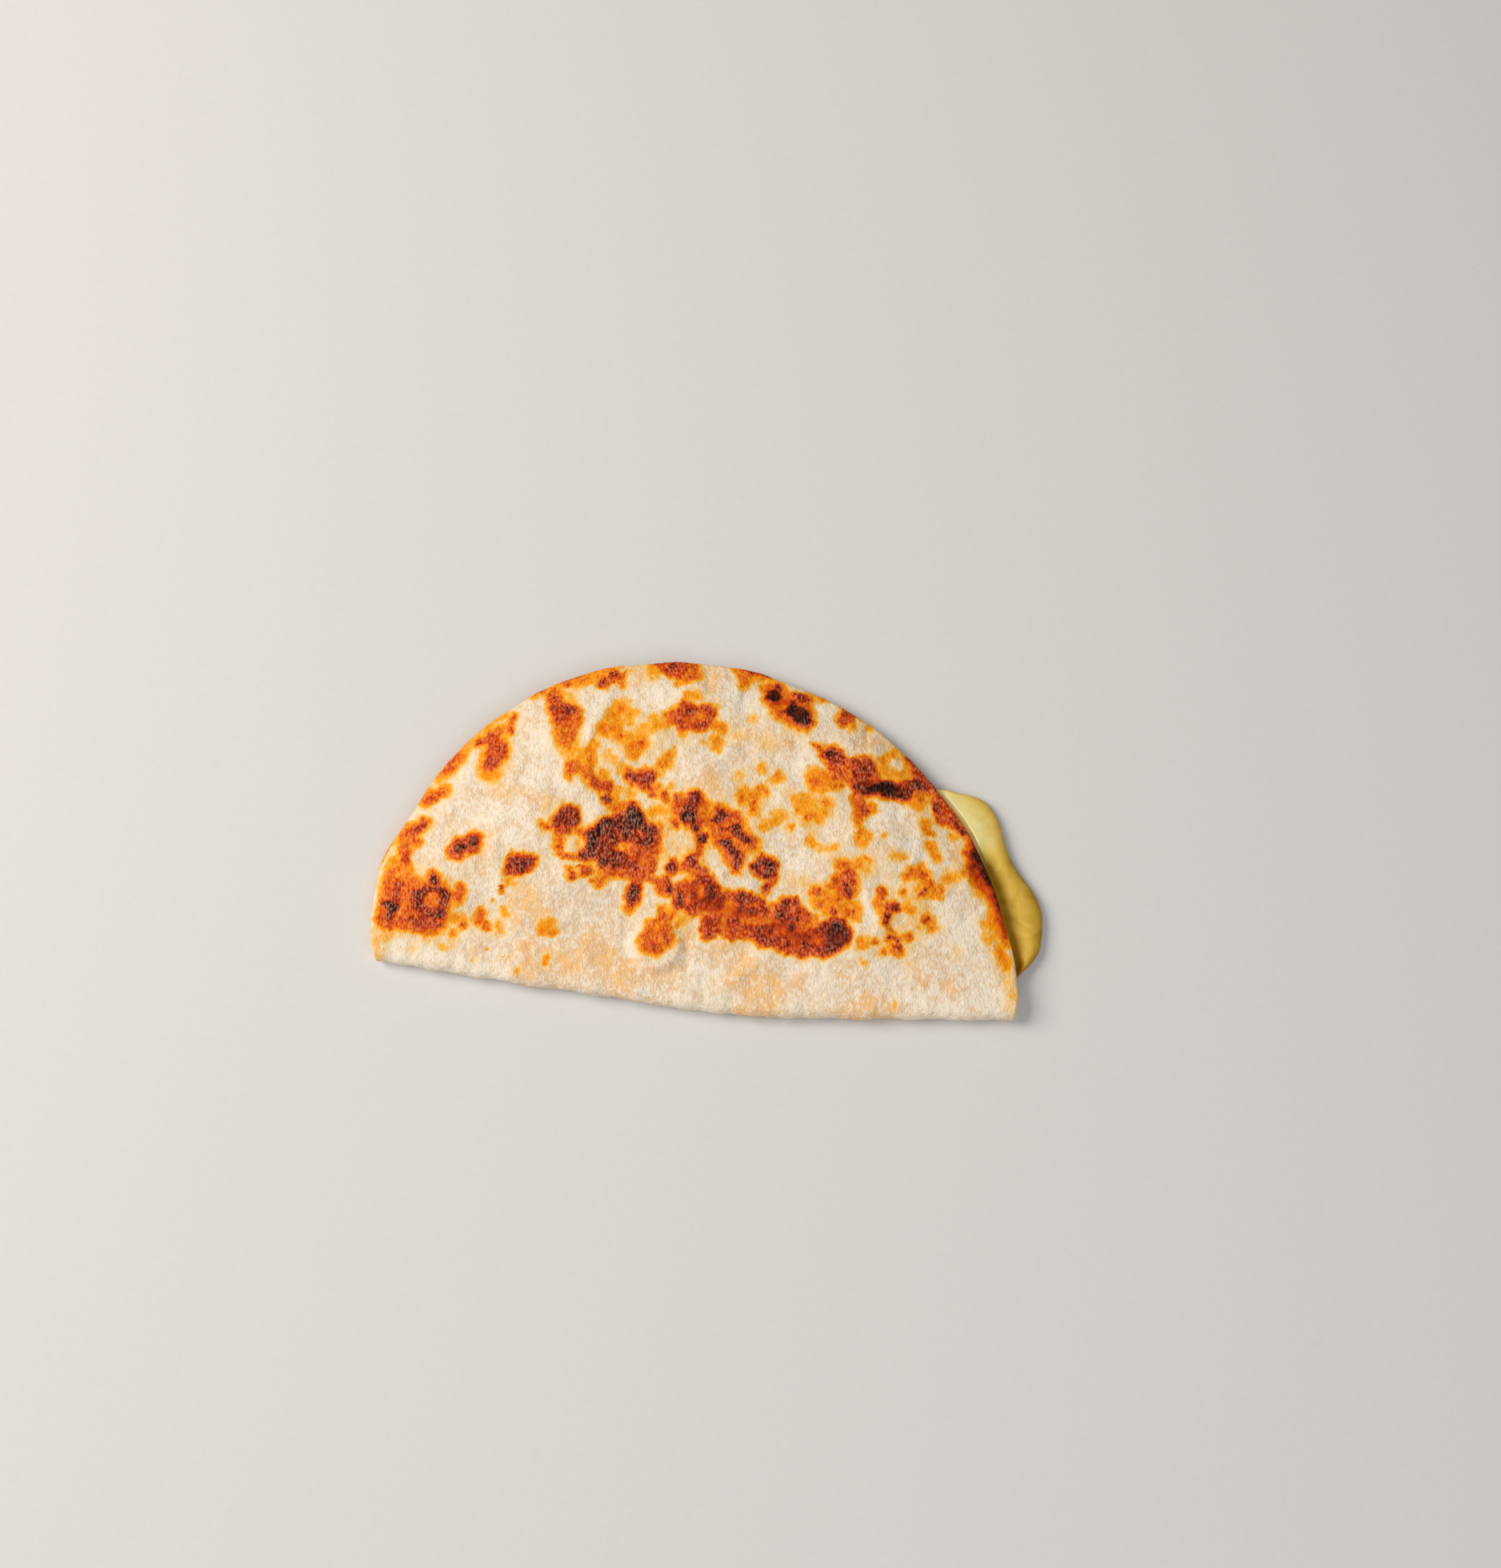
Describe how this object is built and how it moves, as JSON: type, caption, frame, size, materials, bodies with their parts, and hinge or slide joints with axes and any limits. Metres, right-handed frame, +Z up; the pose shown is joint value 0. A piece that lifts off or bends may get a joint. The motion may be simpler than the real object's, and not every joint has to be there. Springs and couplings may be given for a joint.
{
  "type": "quesadilla",
  "caption": "Flour tortilla folded in half round melted cheese, toasted in dark patches, with cheese running out at the round edge; lies flat.",
  "frame": {"origin": "middle of the bounding box's base, on the surface that the quesadilla lies on", "axes": "+X along the fold, +Y from the fold to the round edge, +Z up out of the surface it lies on"},
  "size_m": [0.204, 0.1082, 0.0122],
  "materials": {
    "tortilla": "dry, slightly greasy toasted wheat dough",
    "cheese": "smooth, satin, melted"
  },
  "bodies": {
    "root": {"tortilla": "tortilla", "cheese": "cheese"}
  },
  "joints": []
}
